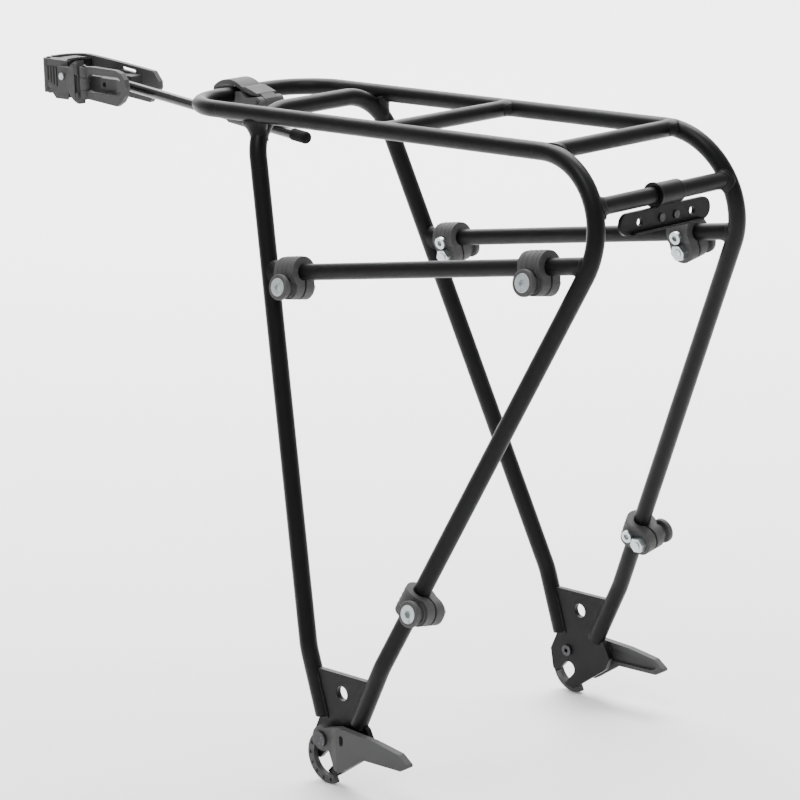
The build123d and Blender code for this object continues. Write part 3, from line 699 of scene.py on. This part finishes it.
class RACK_OT_detail_clamp(Operator):
    """Raised cheek, edge lips and grip ribs on the seatpost clamp's head"""
    bl_idname = "rack.detail_clamp"
    bl_label = "Detail clamp"

    def execute(self, context):
        plastic = finish_for("moulded_plastic", moulded_plastic, context.scene.rack_colours.plastic)
        low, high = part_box("clamp_head")
        cheek = Vector((low.x, low.y + 5 * MM, CHEEK_Z))
        self.cheek(cheek, plastic)
        self.lips(cheek, plastic)
        self.ribs(low, high, plastic)
        return {"FINISHED"}

    def cheek(self, centre, plastic):
        """D-shaped pad with a rounded rim on the cheek's face."""
        pad = bmesh.new()
        rim = []
        for step in range(25):
            angle = math.radians(-88 + 176 * step / 24)
            y = max(centre.y + CHEEK_REACH * math.cos(angle), centre.y + CHEEK_EDGE)
            z = centre.z + CHEEK_HALF * math.sin(angle)
            rim.append(pad.verts.new((centre.x + 0.3 * MM, y, z)))
        face = pad.faces.new(rim)
        raised = bmesh.ops.extrude_face_region(pad, geom=[face])
        moved = [item for item in raised["geom"] if isinstance(item, bmesh.types.BMVert)]
        bmesh.ops.translate(pad, vec=(-CHEEK_RISE, 0, 0), verts=moved)
        top = [edge for edge in pad.edges if all(vert in moved for vert in edge.verts)]
        bmesh.ops.bevel(
            pad, geom=top, offset=0.6 * MM, segments=3, profile=0.5, affect="EDGES", material=-1)
        piece("clamp_cheek_pad", pad, "head", plastic)

    def lips(self, centre, plastic):
        """Lip along the cheek's straight edge, open at the loop's hinge."""
        lips = bmesh.new()
        for start, end in LIP_SPANS:
            low = centre + Vector((LIP_OUT, LIP_Y, start)) * MM
            high = centre + Vector((LIP_OUT, LIP_Y, end)) * MM
            capsule(lips, low, high, LIP_R, 0)
        piece("clamp_cheek_lips", lips, "head", plastic)

    def ribs(self, low, high, plastic):
        """Grip ribs on the nose's near face."""
        ribs = bmesh.new()
        face_x = low.x + 6 * MM
        for step in range(NOSE_RIBS):
            y = high.y - (8 + NOSE_RIB_PITCH * step) * MM
            start = Vector((face_x, y, low.z + (13 - 1.2 * step) * MM))
            end = Vector((face_x, y, high.z - 7 * MM))
            capsule(ribs, start, end, NOSE_RIB_R, 0)
        piece("clamp_nose_ribs", ribs, "head", plastic)


# Camera, in metres, with the directions of its picture
CAMERA_PLACE = (-1.51615, -1.46935, 0.73536)
CAMERA_RIGHT = (0.70228, -0.71141, -0.02639)
CAMERA_UP = (0.18715, 0.14873, 0.97101)
CAMERA_BACK = (-0.68686, -0.68686, 0.23759)

# Floor and backdrop seen from the side: distance back and height, in metres
FLOOR_PROFILE = [(-6, 0), (2.2, 0), (2.9, 0.12), (3.4, 0.5), (3.6, 1.2), (3.6, 6)]

# Name, place, size, power and the point it is aimed at
LAMPS = [
    ("key", (-1.2, -0.4, 2.3), 0.8, 26, (0, 0, 0.22)),
    ("fill", (-2.6, -1.8, 0.6), 1.4, 5, (0, 0, 0.22)),
    ("backdrop", (1.4, 1.4, 3.2), 3.0, 420, (2.2, 2.2, 0)),
]


class RACK_OT_stage(Operator):
    """Pale floor, soft lights and the camera"""
    bl_idname = "rack.stage"
    bl_label = "Set stage"

    def execute(self, context):
        self.floor(context)
        self.lights(context)
        self.camera(context)
        return {"FINISHED"}

    def floor(self, context):
        """Floor that curves up into a backdrop behind the rack."""
        mesh = bmesh.new()
        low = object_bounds()[0].z - 0.5 * MM
        rim = [mesh.verts.new((-8, y, low + z)) for y, z in FLOOR_PROFILE]
        edges = [mesh.edges.new(pair) for pair in zip(rim, rim[1:])]
        swept = bmesh.ops.extrude_edge_only(mesh, edges=edges)
        moved = [item for item in swept["geom"] if isinstance(item, bmesh.types.BMVert)]
        bmesh.ops.translate(mesh, vec=(16, 0, 0), verts=moved)
        turn = Matrix.Rotation(math.radians(-45), 3, "Z")
        bmesh.ops.rotate(mesh, cent=(0, 0, 0), matrix=turn, verts=mesh.verts)
        bmesh.ops.recalc_face_normals(mesh, faces=mesh.faces)
        data = bpy.data.meshes.new("studio_floor")
        mesh.to_mesh(data)
        mesh.free()
        floor = bpy.data.objects.new("studio_floor", data)
        context.scene.collection.objects.link(floor)
        for polygon in data.polygons:
            polygon.use_smooth = True
        shade = Shade("studio_floor")
        colour = tuple(context.scene.rack_colours.floor)
        mottle = shade.noise(3, 2, 0.5)
        base = shade.tint(mottle, lighter(colour, 0.99), colour)
        data.materials.append(shade.finish({"Base Color": base, "Roughness": 0.9}))
        floor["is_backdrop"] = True

    def lights(self, context):
        world = bpy.data.worlds.new("studio")
        world.use_nodes = True
        background = world.node_tree.nodes["Background"]
        background.inputs["Color"].default_value = (1, 1, 1, 1)
        background.inputs["Strength"].default_value = 0.75
        context.scene.world = world
        for name, place, size, power, aim in LAMPS:
            lamp = bpy.data.lights.new(name, "AREA")
            lamp.size = size
            lamp.energy = power
            made = bpy.data.objects.new(name, lamp)
            made.location = place
            made.rotation_euler = (Vector(aim) - Vector(place)).to_track_quat("-Z", "Y").to_euler()
            context.scene.collection.objects.link(made)

    def camera(self, context):
        lens = bpy.data.cameras.new("camera")
        lens.lens = context.scene.rack_sizes.lens
        lens.sensor_width = 36
        lens.clip_end = 50
        made = bpy.data.objects.new("camera", lens)
        turn = Matrix((CAMERA_RIGHT, CAMERA_UP, CAMERA_BACK)).transposed().to_4x4()
        made.matrix_world = Matrix.Translation(CAMERA_PLACE) @ turn
        context.scene.collection.objects.link(made)
        context.scene.camera = made


class RACK_PT_panel(Panel):
    bl_idname = "RACK_PT_panel"
    bl_label = "Rear Rack"
    bl_space_type = "VIEW_3D"
    bl_region_type = "UI"
    bl_category = "Rack"

    def draw(self, context):
        for operator in OPERATORS:
            self.layout.operator(operator.bl_idname)
        for group in (context.scene.rack_sizes, context.scene.rack_colours):
            for key in group.__annotations__:
                self.layout.prop(group, key)


OPERATORS = (
    RACK_OT_coat_tubes,
    RACK_OT_coat_strut,
    RACK_OT_mould_plastics,
    RACK_OT_plate_fasteners,
    RACK_OT_weld_deck,
    RACK_OT_weld_arch,
    RACK_OT_weld_feet,
    RACK_OT_close_stays,
    RACK_OT_rib_collars,
    RACK_OT_detail_clamp,
    RACK_OT_stage,
)
CLASSES = (RackColours, RackSizes, *OPERATORS, RACK_PT_panel)


def register():
    for entry in CLASSES:
        bpy.utils.register_class(entry)
    bpy.types.Scene.rack_colours = PointerProperty(type=RackColours)
    bpy.types.Scene.rack_sizes = PointerProperty(type=RackSizes)


def unregister():
    del bpy.types.Scene.rack_sizes
    del bpy.types.Scene.rack_colours
    for entry in reversed(CLASSES):
        bpy.utils.unregister_class(entry)


def main():
    register()
    for operator in OPERATORS:
        group, name = operator.bl_idname.split(".")
        getattr(getattr(bpy.ops, group), name)()
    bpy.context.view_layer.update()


if __name__ == "__main__":
    main()
